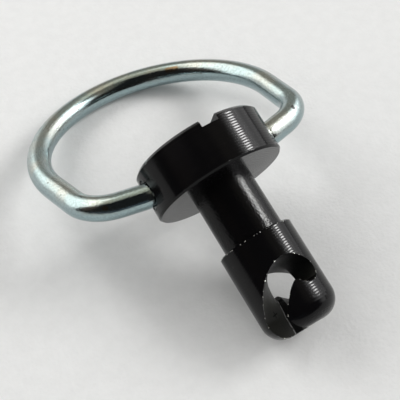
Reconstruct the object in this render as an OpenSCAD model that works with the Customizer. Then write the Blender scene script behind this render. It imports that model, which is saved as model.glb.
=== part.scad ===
// Quarter turn fastener: a turned stud with a helical cam slot and a wire bail that swings in its head.
// The stud's own frame has its origin at the middle of the head's seating face, the bail's pivot along X
// and the stud's axis along +Z towards the tip. The whole fastener is then laid down on the ground, Z = 0,
// propped on the tip of its barrel and the bow of its bail.

/* [Head] */
// Diameter of the head
head_d = 14; // [12:0.1:18]
// Thickness of the head
head_h = 5; // [4.6:0.1:7]
// Chamfer on the rim of the head's outer face
head_chamfer = 0.3; // [0.1:0.05:0.5]
// Chamfer on the rim of the head's seating face
seat_chamfer = 0.2; // [0.05:0.05:0.4]
// Width of the screwdriver slot
drive_w = 1.8; // [1.2:0.1:2.2]
// Depth of the screwdriver slot
drive_depth = 0.75; // [0.4:0.05:0.9]
// Angle of the screwdriver slot from square to the pivot
drive_turn = 2; // [0:1:90]

/* [Shank and barrel] */
// Diameter of the shank
shank_d = 6.4; // [5:0.1:7]
// Length of the shank, from the seating face to the barrel's shoulder
shank_h = 6.4; // [4:0.1:10]
// Diameter of the barrel
barrel_d = 7.9; // [7.4:0.1:9]
// Length of the barrel, from its shoulder to the tip
barrel_h = 9.8; // [9:0.1:12]
// Chamfer on the barrel's shoulder
shoulder_chamfer = 0.12; // [0.05:0.01:0.3]
// Radius that rounds the barrel into its flat tip
tip_r = 2.1; // [1:0.1:3]

/* [Cam slot] */
// Width of the cam slot, the diameter of the cutter that mills it
cam_w = 2.5; // [2:0.1:2.8]
// Distance from the barrel's shoulder to the cutter's centre at the crest of the slot
cam_crest = 4.25; // [3.6:0.05:4.8]
// Angle from the crest back to the mouth of the slot
cam_ramp_turn = 57; // [45:1:65]
// Distance along the axis that the ramp climbs from its foot to the crest
cam_ramp_rise = 3.7; // [3:0.1:4]
// Angle from the crest on to the detent
cam_detent_turn = 21; // [15:1:30]
// Distance that the detent drops back from the crest
cam_detent_drop = 0.9; // [0.5:0.1:1.4]
// How sharply the cam curves away from its crest
cam_power = 1.8; // [1.5:0.1:2.2]

/* [Bail] */
// Diameter of the wire
wire_d = 2.6; // [2:0.1:2.8]
// Clearance all round between the wire and its bore
bore_gap = 0.08; // [0.05:0.01:0.15]
// Length of wire that sits in each bore
seat_len = 3.2; // [2:0.1:4]
// Space left at the bottom of each bore, beyond the end of the wire
bore_spare = 0.4; // [0.2:0.1:0.8]
// Chamfer at the mouth of each bore
mouth_chamfer = 0.3; // [0.05:0.05:0.4]
// Chamfer on the cut ends of the wire
wire_chamfer = 0.3; // [0.1:0.05:0.6]
// Inner radius of the bend where each leg leaves the head
leg_bend = 0.5; // [0.4:0.1:2]
// Angle by which the legs sweep back from the pivot
leg_sweep = 17; // [8:1:25]
// Inner radius of the two corners
corner_bend = 3.4; // [2:0.1:4.5]
// Angle by which the sides lean outwards
side_lean = 6; // [3:1:12]
// Length of the straight sides
side_len = 4.5; // [2:0.1:7]
// Inner radius of the bow
bow_bend = 12.3; // [11.9:0.1:16]
// Angle between the bail and the stud's axis as the fastener lies
bail_lean = 41.7; // [36:0.1:50]

/* [Hidden] */
$fn = 96;

head_r = head_d / 2;
shank_r = shank_d / 2;
barrel_r = barrel_d / 2;
wire_r = wire_d / 2;
bore_r = wire_r + bore_gap;
// The bends are this much slimmer than the straights, which lap over their ends.
wire_thinning = 0.002;
wire_lap = 0.02;
tip_z = shank_h + barrel_h;
pivot_z = -head_h / 2;

// The bend radii that the middle of the wire follows
leg_r = leg_bend + wire_r;
corner_r = corner_bend + wire_r;
bow_r = bow_bend + wire_r;
// The legs are as long as brings the ends of the bow to meet on the middle plane.
side_angle = 90 - side_lean;
corner_end = bow_r * sin(side_angle) - side_len * cos(side_angle);
corner_start = corner_end - corner_r * (sin(side_angle) - sin(leg_sweep));
leg_len = (corner_start - head_r - leg_r * sin(leg_sweep)) / cos(leg_sweep);
// Distance from the pivot to the middle of the wire at the top of the bow
bow_reach = leg_r * (1 - cos(leg_sweep)) + leg_len * sin(leg_sweep)
          + corner_r * (cos(leg_sweep) - cos(side_angle))
          + side_len * sin(side_angle) + bow_r * (1 + cos(side_angle));

// The tilt at which the rounded tip and the bow both touch the ground solves
// prop_a * cos(tilt) + prop_b * sin(tilt) = wire_r - tip_r.
prop_a = barrel_r - tip_r - bow_reach * sin(bail_lean);
prop_b = tip_z - tip_r - pivot_z + bow_reach * cos(bail_lean);
tilt = asin((wire_r - tip_r) / norm([prop_a, prop_b])) - atan2(prop_a, prop_b);
// Height of the seating face's centre above the ground
seat_height = (barrel_r - tip_r) * cos(tilt) + (tip_z - tip_r) * sin(tilt) + tip_r;
// How far the tip and the bow reach to either side of the seating face's centre, along Y
tip_reach = (barrel_r - tip_r) * sin(tilt) + (tip_z - tip_r) * cos(tilt) + tip_r;
bail_reach = -pivot_z * cos(tilt) + bow_reach * cos(bail_lean - tilt) + wire_r;

// The cam slot's cutter reaches right through the barrel, and this far out from its axis.
cutter_reach = 2 * barrel_r;
cam_crest_z = shank_h + cam_crest;
// Places along each branch of the slot, levels down it and points along each of its walls
cam_steps = 40;
cam_levels = 16;
wall_steps = 5;
// Angles round the cutter at which each branch is cut across near its rounded ceiling. They differ
// from one branch to the other, so no two faces of the branches fall together.
ramp_caps = [8, 26, 44, 62, 80];
detent_caps = [10, 30, 50, 70];

// Lays the stud's frame down, with the tip and the bow on the ground and the middle of both at Y = 0.
module laid_down() {
    translate([0, (tip_reach - bail_reach) / 2, seat_height])
        rotate([90 + tilt, 0, 0])
            children();
}

// Half the outline of the turned blank, with radius along X and the stud's axis along Y
module blank_outline() {
    polygon([
        [0, -head_h],
        [head_r - head_chamfer, -head_h],
        [head_r, -head_h + head_chamfer],
        [head_r, -seat_chamfer],
        [head_r - seat_chamfer, 0],
        [shank_r, 0],
        [shank_r, shank_h],
        [barrel_r - shoulder_chamfer, shank_h],
        [barrel_r, shank_h + shoulder_chamfer],
        [barrel_r, tip_z - tip_r],
        [barrel_r - tip_r, tip_z - tip_r],
        [barrel_r - tip_r, tip_z],
        [0, tip_z]
    ]);
    translate([barrel_r - tip_r, tip_z - tip_r])
        intersection() {
            circle(tip_r);
            square(2 * tip_r);
        }
}

// One blind bore for an end of the bail, drilled in along X, with a chamfered mouth and the drill's cone
module bail_bore() {
    bore_len = seat_len + bore_spare;
    drill_cone = bore_r * tan(31);
    translate([head_r - bore_len, 0, pivot_z])
        rotate([0, 90, 0]) {
            cylinder(r = bore_r, h = 2 * bore_len);
            translate([0, 0, -drill_cone])
                cylinder(r1 = 0, r2 = bore_r, h = drill_cone);
            translate([0, 0, bore_len - mouth_chamfer])
                cylinder(r1 = bore_r, r2 = bore_r + 2, h = 2);
        }
}

// The screwdriver slot across the head's outer face
module drive_slot() {
    rotate([0, 0, drive_turn])
        translate([-drive_w / 2, -head_d, -head_h - 1])
            cube([drive_w, 2 * head_d, drive_depth + 1]);
}

// The places of the cutter from one step before the crest, as [angle about the axis, distance along it]
function cam_path(turn, fall) = [
    for (i = [-1:cam_steps])
        [90 + turn * i / cam_steps, cam_crest_z + fall * pow(abs(i) / cam_steps, cam_power)]
];

// Half the width that the cutter opens at level z from each of its places. On an open branch the cutter
// runs straight on from its last place.
function half_widths(z, path, open) = [
    for (i = [0:len(path) - 1])
        let (past = z - path[i][1])
        let (away = open && i == len(path) - 1 ? min(0, past) : past)
        sqrt(max(0, pow(cam_w / 2, 2) - pow(away, 2)))
];

// The angle at radius rho of the wall on one side of the branch: side is 1 for ahead and -1 for behind
function wall_angle(rho, path, halves, side) = side * max([
    for (i = [0:len(path) - 1])
        if (halves[i] > 0)
            side * path[i][0] + asin(min(1, halves[i] / rho))
]);

function polar(rho, angle, z) = [rho * cos(angle), rho * sin(angle), z];

function wall_point(rho, half_turn, path, halves, side, z) =
    polar(rho, half_turn + wall_angle(rho, path, halves, side), z);

// One level outline of a branch, with the middle of the level first. Each side wall runs from the waist
// out past the barrel. The cutter goes right through the axis, so the outline repeats after half a turn.
function cam_ring(z, path, open) =
    let (halves = half_widths(z, path, open))
    let (waist = max(halves))
    let (radii = concat(
        [for (k = [1:wall_steps]) waist + (1.04 * barrel_r - waist) * k / wall_steps],
        [cutter_reach]
    ))
    let (last = len(radii) - 1)
    let (waist_ahead = wall_angle(waist, path, halves, 1))
    let (waist_behind = wall_angle(waist, path, halves, -1))
    concat([[0, 0, z]], [
        for (half_turn = [0, 180])
            each concat(
                [for (k = [last:-1:0]) wall_point(radii[k], half_turn, path, halves, 1, z)],
                [polar(waist, half_turn + (waist_ahead + waist_behind + 180) / 2, z)],
                [for (k = [0:last]) wall_point(radii[k], half_turn + 180, path, halves, -1, z)]
            )
    ]);

// A branch of the slot as a solid through its level outlines
module cam_branch(path, levels, open) {
    rings = [for (z = levels) cam_ring(z, path, open)];
    count = len(rings[0]);
    top = len(levels) - 1;
    start_cap = [
        for (j = [1:count - 1])
            [0, j, j % (count - 1) + 1]
    ];
    end_cap = [
        for (j = [1:count - 1])
            [top * count, top * count + j % (count - 1) + 1, top * count + j]
    ];
    sides = [
        for (i = [0:top - 1], j = [1:count - 1])
            let (a = i * count + j)
            let (b = i * count + j % (count - 1) + 1)
            each [[a, a + count, b], [b, a + count, b + count]]
    ];
    polyhedron(
        points = [for (ring = rings) each ring],
        faces = concat(start_cap, sides, end_cap)
    );
}

// The cam slot: a ramp that opens at the tip, and a detent on the far side of its crest
module cam_slot() {
    cutter_r = cam_w / 2;
    ramp_foot = cam_crest_z + cam_ramp_rise;
    detent_foot = cam_crest_z + cam_detent_drop;
    cam_branch(
        cam_path(cam_ramp_turn, cam_ramp_rise),
        concat(
            [for (a = ramp_caps) cam_crest_z - cutter_r * cos(a)],
            [for (i = [0:cam_levels]) cam_crest_z + (cam_ramp_rise + cutter_r) * i / cam_levels],
            [tip_z + 1]
        ),
        true
    );
    cam_branch(
        cam_path(-cam_detent_turn, cam_detent_drop),
        concat(
            [for (a = detent_caps) cam_crest_z - cutter_r * cos(a)],
            [for (i = [1:4]) cam_crest_z + (cam_detent_drop - 0.05) * i / 4],
            [for (i = [len(detent_caps) - 1:-1:0]) detent_foot + cutter_r * cos(detent_caps[i])]
        ),
        false
    );
}

module stud() {
    color([0.10, 0.10, 0.11])
        laid_down()
            difference() {
                rotate_extrude()
                    blank_outline();
                bail_bore();
                mirror([1, 0, 0])
                    bail_bore();
                drive_slot();
                cam_slot();
            }
}

// A length of wire along +X from the origin, lapped over its neighbours. The rest of the wire follows on.
module straight(len) {
    translate([-wire_lap, 0, 0])
        rotate([0, 90, 0])
            cylinder(r = wire_r, h = len + 2 * wire_lap);
    translate([len, 0, 0])
        children();
}

// An arc of wire about the origin, from the angle start through the angle turn
module arc(bend_r, start, turn) {
    rotate([0, 0, start])
        rotate_extrude(angle = turn)
            translate([bend_r, 0])
                circle(wire_r - wire_thinning);
}

// A bend of the wire from the origin towards +Y. The rest of the wire follows on.
module bend(bend_r, turn) {
    translate([0, bend_r, 0]) {
        arc(bend_r, -90, turn);
        rotate([0, 0, turn])
            translate([0, -bend_r, 0])
                children();
    }
}

// One end of the bail up to its bow, with the pivot along +X and the bow towards +Y
module bail_leg() {
    translate([head_r - seat_len, 0, 0])
        rotate([0, 90, 0])
            cylinder(r1 = wire_r - wire_chamfer, r2 = wire_r, h = wire_chamfer);
    translate([head_r - seat_len + wire_chamfer, 0, 0])
        straight(seat_len - wire_chamfer)
            bend(leg_r, leg_sweep)
                straight(leg_len)
                    bend(corner_r, side_angle - leg_sweep)
                        straight(side_len);
}

module bail() {
    color([0.72, 0.74, 0.77])
        laid_down()
            translate([0, 0, pivot_z])
                rotate([-90 - bail_lean, 0, 0]) {
                    bail_leg();
                    mirror([1, 0, 0])
                        bail_leg();
                    translate([0, bow_reach - bow_r, 0])
                        arc(bow_r, -side_lean, 180 + 2 * side_lean);
                }
}

stud();
bail();
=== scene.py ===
"""Quarter turn fastener: a black turned stud with a helical cam slot, and a zinc-plated wire bail.

The stud is turned as a mesh of revolution, cut by its bores, drive slot and cam slot, and given the true
normals of its turned and milled surfaces. Geometry Nodes scatter the burrs that are joined to it, and
sweep the wire of the bail along one path.
Sizes are in millimetres in the stud's own frame: z = 0 at the seating face, +Z to the tip, +X the pivot.
"""

from __future__ import annotations

import logging
import math
from dataclasses import dataclass, field
from enum import Enum

import bpy
import numpy as np
from mathutils import Matrix, Vector
from mathutils.kdtree import KDTree

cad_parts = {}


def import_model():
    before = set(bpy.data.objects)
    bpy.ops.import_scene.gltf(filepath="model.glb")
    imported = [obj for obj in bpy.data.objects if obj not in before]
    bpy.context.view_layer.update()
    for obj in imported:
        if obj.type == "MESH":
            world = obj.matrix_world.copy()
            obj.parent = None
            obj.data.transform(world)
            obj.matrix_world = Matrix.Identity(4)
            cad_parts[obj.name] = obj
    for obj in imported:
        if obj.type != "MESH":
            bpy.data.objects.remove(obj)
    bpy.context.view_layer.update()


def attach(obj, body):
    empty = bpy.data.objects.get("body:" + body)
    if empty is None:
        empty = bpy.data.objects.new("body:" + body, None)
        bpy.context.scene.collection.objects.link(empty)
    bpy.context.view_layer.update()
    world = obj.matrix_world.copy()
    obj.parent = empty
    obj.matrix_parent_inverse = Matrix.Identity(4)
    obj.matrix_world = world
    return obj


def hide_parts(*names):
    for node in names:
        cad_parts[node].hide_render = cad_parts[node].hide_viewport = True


LOG = logging.getLogger("quarter_turn_fastener")
MM = 0.001
GAP = 0.02  # millimetres, so that two levels of a cutter never meet
FULL_TURN = 6.28  # radians, for a random turn
DRILL_SLOPE = math.radians(31)  # of the bores' pointed ends
STRAND_ALONG = 0.35  # of the strand's coordinate, for each millimetre along the wire
STRAND_ROUND = 9.0  # of the strand's coordinate, for each wire radius across it

Pair = tuple[float, float]
Point = tuple[float, float, float]
Colour = tuple[float, float, float, float]
Socket = bpy.types.NodeSocket


class Surface(Enum):
    """The kinds of surface on the stud, each with its own rule for the normal."""

    PLANE_OUT = 0
    PLANE_SEAT = 1
    PLANE_SHOULDER = 2
    PLANE_TIP = 3
    HEAD = 4
    SHANK = 5
    BARREL = 6
    HEAD_CHAMFER = 7
    SEAT_CHAMFER = 8
    SHOULDER_CHAMFER = 9
    TIP_ROUND = 10
    BORE = 11
    BORE_MOUTH = 12
    BORE_POINT = 13
    DRIVE = 14
    CAM = 15


MILLED = (Surface.BORE, Surface.BORE_MOUTH, Surface.BORE_POINT, Surface.DRIVE, Surface.CAM)


@dataclass(frozen=True)
class StudSizes:
    """Sizes of the turned stud, in millimetres."""

    head_r: float = 7.0
    head_h: float = 5.0
    head_chamfer: float = 0.3
    seat_chamfer: float = 0.2
    drive_w: float = 1.8
    drive_depth: float = 0.75
    drive_turn: float = 2.0
    shank_r: float = 3.2
    shank_h: float = 6.4
    barrel_r: float = 3.95
    barrel_h: float = 9.8
    shoulder_chamfer: float = 0.12
    tip_r: float = 2.1

    @property
    def tip_z(self) -> float:
        """Height of the flat tip."""
        return self.shank_h + self.barrel_h

    @property
    def pivot_z(self) -> float:
        """Height of the bail's pivot."""
        return -self.head_h / 2


@dataclass(frozen=True)
class CamSizes:
    """Sizes of the cam slot, in millimetres and degrees."""

    width: float = 2.5
    crest: float = 4.25
    ramp_turn: float = 57.0
    ramp_rise: float = 3.7
    detent_turn: float = 21.0
    detent_drop: float = 0.9
    power: float = 1.8
    steps: int = 160


@dataclass(frozen=True)
class WireSizes:
    """Sizes of the bent wire, in millimetres and degrees."""

    wire_r: float = 1.3
    bore_gap: float = 0.08
    seat_len: float = 3.2
    bore_spare: float = 0.4
    mouth_chamfer: float = 0.3
    wire_chamfer: float = 0.3
    leg_r: float = 1.8
    leg_sweep: float = 17.0
    corner_r: float = 4.7
    side_lean: float = 6.0
    side_len: float = 4.5
    bow_r: float = 13.6
    bail_lean: float = 41.7

    @property
    def side_angle(self) -> float:
        """Heading of the straight sides, from the pivot."""
        return 90 - self.side_lean

    def leg_len(self, head_r: float) -> float:
        """Length of the straight legs.

        Args:
            head_r: Radius of the head, where the legs start.

        Returns:
            The length that lets the bow close on the middle plane.
        """
        sweep, side = math.radians(self.leg_sweep), math.radians(self.side_angle)
        corner_end = self.bow_r * math.sin(side) - self.side_len * math.cos(side)
        corner_start = corner_end - self.corner_r * (math.sin(side) - math.sin(sweep))
        return (corner_start - head_r - self.leg_r * math.sin(sweep)) / math.cos(sweep)

    def reach(self, head_r: float) -> float:
        """Distance from the pivot to the middle of the wire at the top of the bow.

        Args:
            head_r: Radius of the head.

        Returns:
            The distance in millimetres.
        """
        sweep, side = math.radians(self.leg_sweep), math.radians(self.side_angle)
        return (
            self.leg_r * (1 - math.cos(sweep))
            + self.leg_len(head_r) * math.sin(sweep)
            + self.corner_r * (math.cos(sweep) - math.cos(side))
            + self.side_len * math.sin(side)
            + self.bow_r * (1 + math.cos(side))
        )


@dataclass(frozen=True)
class RestPose:
    """How the fastener lies on the ground, propped on its tip and on the bow of its bail."""

    stud: StudSizes
    wire: WireSizes

    @property
    def tilt(self) -> float:
        """Dip of the stud's axis below level, in radians."""
        s, w = self.stud, self.wire
        lean, reach = math.radians(w.bail_lean), w.reach(s.head_r)
        a = s.barrel_r - s.tip_r - reach * math.sin(lean)
        b = s.tip_z - s.tip_r - s.pivot_z + reach * math.cos(lean)
        return math.asin((w.wire_r - s.tip_r) / math.hypot(a, b)) - math.atan2(a, b)

    @property
    def origin(self) -> Vector:
        """Place of the middle of the seating face, in millimetres."""
        tilt, s, w = self.tilt, self.stud, self.wire
        rise = (s.barrel_r - s.tip_r) * math.cos(tilt) + (s.tip_z - s.tip_r) * math.sin(tilt) + s.tip_r
        tip = (s.barrel_r - s.tip_r) * math.sin(tilt) + (s.tip_z - s.tip_r) * math.cos(tilt) + s.tip_r
        bow = -s.pivot_z * math.cos(tilt)
        bow += w.reach(s.head_r) * math.cos(math.radians(w.bail_lean) - tilt) + w.wire_r
        return Vector((0, (tip - bow) / 2, rise))

    @property
    def rotation(self) -> Matrix:
        """Turn from the stud's own frame to the ground's."""
        return Matrix.Rotation(math.pi / 2 + self.tilt, 3, "X")

    def matrix(self) -> Matrix:
        """Places a mesh in millimetres of the stud's frame on the ground, in metres."""
        turn = Matrix.Translation(self.origin) @ self.rotation.to_4x4()
        return Matrix.Scale(MM, 4) @ turn


class Mesher:
    """Small helpers that turn arrays of points into mesh objects."""

    @staticmethod
    def link(name: str, points: np.ndarray, faces: list, edges: list | None = None) -> bpy.types.Object:
        """Makes an object from points and faces.

        Args:
            name: Name of the object.
            points: Points as rows.
            faces: Faces as lists of point numbers.
            edges: Loose edges, where there are no faces.

        Returns:
            The linked object.
        """
        mesh = bpy.data.meshes.new(name)
        mesh.from_pydata([tuple(p) for p in points], edges or [], faces)
        mesh.update()
        return Mesher.place(name, mesh)

    @staticmethod
    def place(name: str, data: bpy.types.ID) -> bpy.types.Object:
        """Makes an object of a mesh, a curve, a lamp or a camera.

        Args:
            name: Name of the object.
            data: What it shows.

        Returns:
            The linked object.
        """
        obj = bpy.data.objects.new(name, data)
        bpy.context.scene.collection.objects.link(obj)
        return obj

    @staticmethod
    def read(items: bpy.types.bpy_prop_collection, name: str, width: int = 1, kind: type = float) -> np.ndarray:
        """Reads a property of every face, point or corner of a mesh.

        Args:
            items: The faces, points or corners.
            name: The property.
            width: How many numbers it has.
            kind: The kind of number.

        Returns:
            The numbers, one row for each item where there are several.
        """
        values = np.zeros(len(items) * width, dtype=kind)
        items.foreach_get(name, values)
        return values.reshape(-1, width) if width > 1 else values

    @staticmethod
    def revolve(name: str, profile: list[Pair], segments: int) -> bpy.types.Object:
        """Turns a half outline about +Z into a closed solid.

        Args:
            name: Name of the object.
            profile: Radius and height of each point, from the axis round to the axis.
            segments: Number of steps round the axis.

        Returns:
            The solid, with faces that point outwards.
        """
        angles = np.arange(segments) * 2 * math.pi / segments
        points = [(0.0, 0.0, profile[0][1])]
        for r, z in profile[1:-1]:
            points.extend((r * math.cos(t), r * math.sin(t), z) for t in angles)
        points.append((0.0, 0.0, profile[-1][1]))
        rows = len(profile) - 2
        faces: list[tuple[int, ...]] = []
        for j in range(segments):
            k = (j + 1) % segments
            faces.append((0, 1 + k, 1 + j))
            for i in range(rows - 1):
                a, b = 1 + i * segments, 1 + (i + 1) * segments
                faces.append((a + j, a + k, b + k, b + j))
            last = 1 + (rows - 1) * segments
            faces.append((last + j, last + k, len(points) - 1))
        return Mesher.link(name, np.array(points), faces)

    @staticmethod
    def evaluated(obj: bpy.types.Object) -> bpy.types.Mesh:
        """Gives an object's mesh with its modifiers applied.

        Args:
            obj: The object.

        Returns:
            A new plain mesh.
        """
        graph = bpy.context.evaluated_depsgraph_get()
        return bpy.data.meshes.new_from_object(obj.evaluated_get(graph), depsgraph=graph)

    @staticmethod
    def apply(obj: bpy.types.Object) -> None:
        """Replaces an object's mesh by its evaluated one and drops its modifiers.

        Args:
            obj: The object.
        """
        mesh = Mesher.evaluated(obj)
        obj.modifiers.clear()
        obj.data = mesh

    @staticmethod
    def cut(obj: bpy.types.Object, cutter: bpy.types.Object) -> None:
        """Cuts one closed solid out of another and removes the cutter.

        Args:
            obj: The solid that stays.
            cutter: The solid that is taken out.
        """
        mod = obj.modifiers.new("cut", "BOOLEAN")
        mod.operation = "DIFFERENCE"
        mod.solver = "MANIFOLD"
        mod.object = cutter
        Mesher.apply(obj)
        bpy.data.objects.remove(cutter)


@dataclass
class CamCutter:
    """The path of the round cutter that mills the cam slot through the barrel's axis."""

    stud: StudSizes
    cam: CamSizes
    ramp_levels: int = 46
    detent_levels: int = 8
    lead_in: int = 4
    cap_angles: tuple[int, ...] = (6, 16, 26, 36, 46, 57, 68, 79)
    wall_steps: int = 11
    past_barrel: Pair = (1.04, 2.0)

    def branch(self, turn: float, drop: float) -> np.ndarray:
        """Lists the cutter's places along one branch.

        Args:
            turn: Angle from the crest to the end of the branch, in degrees.
            drop: Distance along the axis from the crest to the end.

        Returns:
            Rows of angle in radians and height, from a few steps before the crest.
        """
        i = np.arange(-self.lead_in, self.cam.steps + 1) / self.cam.steps
        z = self.stud.shank_h + self.cam.crest + drop * np.abs(i) ** self.cam.power
        return np.column_stack([np.radians(90 + turn * i), z])

    def branches(self) -> list[tuple[np.ndarray, bool, float]]:
        """Gives the ramp and the detent as places, whether it runs on to the tip, and its drop."""
        return [
            (self.branch(self.cam.ramp_turn, self.cam.ramp_rise), True, self.cam.ramp_rise),
            (self.branch(-self.cam.detent_turn, self.cam.detent_drop), False, self.cam.detent_drop),
        ]

    def _half_widths(self, z: float, path: np.ndarray, runs_on: bool) -> np.ndarray:
        """Half the width that the cutter opens at a level, from each of its places.

        Args:
            z: The level.
            path: The cutter's places along the branch.
            runs_on: Whether the branch runs on to the tip.

        Returns:
            Half the width from each place, nought where it opens none.
        """
        past = z - path[:, 1]
        if runs_on:
            past[-1] = min(0.0, past[-1])
        return np.sqrt(np.maximum(0.0, (self.cam.width / 2) ** 2 - past**2))

    def _ring(self, z: float, path: np.ndarray, runs_on: bool) -> list[Point]:
        """One level outline of a branch, with the middle first.

        Args:
            z: The level.
            path: The cutter's places along the branch.
            runs_on: Whether the branch runs on to the tip.

        Returns:
            The outline's points.
        """
        halves = self._half_widths(z, path, runs_on)
        live = halves > 0
        angles, halves = path[live, 0], halves[live]
        waist = halves.max()
        out, beyond = (share * self.stud.barrel_r for share in self.past_barrel)
        radii = [waist + (out - waist) * k / self.wall_steps for k in range(1, self.wall_steps + 1)]
        radii.append(beyond)

        def wall(rho: float, side: int) -> float:
            """Angle of the wall at a radius, ahead of or behind the cutter."""
            spread = np.arcsin(np.minimum(1.0, halves / rho))
            return float(side * np.max(side * angles + spread))

        middle = (wall(waist, 1) + wall(waist, -1) + math.pi) / 2
        ring = [(0.0, 0.0, z)]
        for half in (0.0, math.pi):
            line = [(rho, half + wall(rho, 1)) for rho in reversed(radii)]
            line.append((waist, half + middle))
            line += [(rho, half + math.pi + wall(rho, -1)) for rho in radii]
            ring += [(rho * math.cos(t), rho * math.sin(t), z) for rho, t in line]
        return ring

    def solids(self) -> list[bpy.types.Object]:
        """Builds one closed cutter for each branch.

        Returns:
            The cutters, as objects in the stud's frame.
        """
        out = []
        r, top = self.cam.width / 2, self.stud.shank_h + self.cam.crest
        for n, (path, runs_on, drop) in enumerate(self.branches()):
            caps = np.radians([angle + n for angle in self.cap_angles])
            levels = list(top - r * np.cos(caps))
            if runs_on:
                levels += list(top + (drop + r) * np.arange(self.ramp_levels + 1) / self.ramp_levels)
                levels.append(self.stud.tip_z + 1)
            else:
                short = drop - GAP
                levels += list(top + short * np.arange(1, self.detent_levels + 1) / self.detent_levels)
                levels += list(top + drop + r * np.cos(caps[::-1]))
            rings = [self._ring(z, path, runs_on) for z in levels]
            out.append(self._skin(f"cam_cutter_{n}", rings))
        return out

    @staticmethod
    def _skin(name: str, rings: list[list[Point]]) -> bpy.types.Object:
        """Joins level outlines into a closed solid.

        Args:
            name: Name of the solid.
            rings: The outlines, each with its middle first.

        Returns:
            The solid.
        """
        count = len(rings[0])
        last = len(rings) - 1
        faces: list[tuple[int, int, int]] = []
        for j in range(1, count):
            k = j % (count - 1) + 1
            faces.append((0, k, j))
            faces.append((last * count, last * count + j, last * count + k))
            for i in range(last):
                a, b = i * count + j, i * count + k
                faces += [(a, b, a + count), (b, b + count, a + count)]
        return Mesher.link(name, np.array([p for ring in rings for p in ring]), faces)

    def normals(self, points: np.ndarray) -> tuple[np.ndarray, np.ndarray]:
        """Normals of the slot's walls, towards the nearest place of the cutter's axis.

        Args:
            points: Points in the stud's frame.

        Returns:
            Each point's distance from the wall, and its unit normal.
        """
        best = np.full(len(points), 1e9)
        foot = np.zeros_like(points)
        for path, runs_on, _ in self.branches():
            for n, (angle, z) in enumerate(path):
                u = np.array([math.cos(angle), math.sin(angle), 0.0])
                along = points @ u
                q = along[:, None] * u
                q[:, 2] = z
                if runs_on and n == len(path) - 1:
                    q[:, 2] = np.maximum(z, points[:, 2])
                d = np.linalg.norm(points - q, axis=1)
                near = d < best
                best[near], foot[near] = d[near], q[near]
        normal = (foot - points) / np.maximum(best, 1e-6)[:, None]
        return best - self.cam.width / 2, normal


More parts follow.
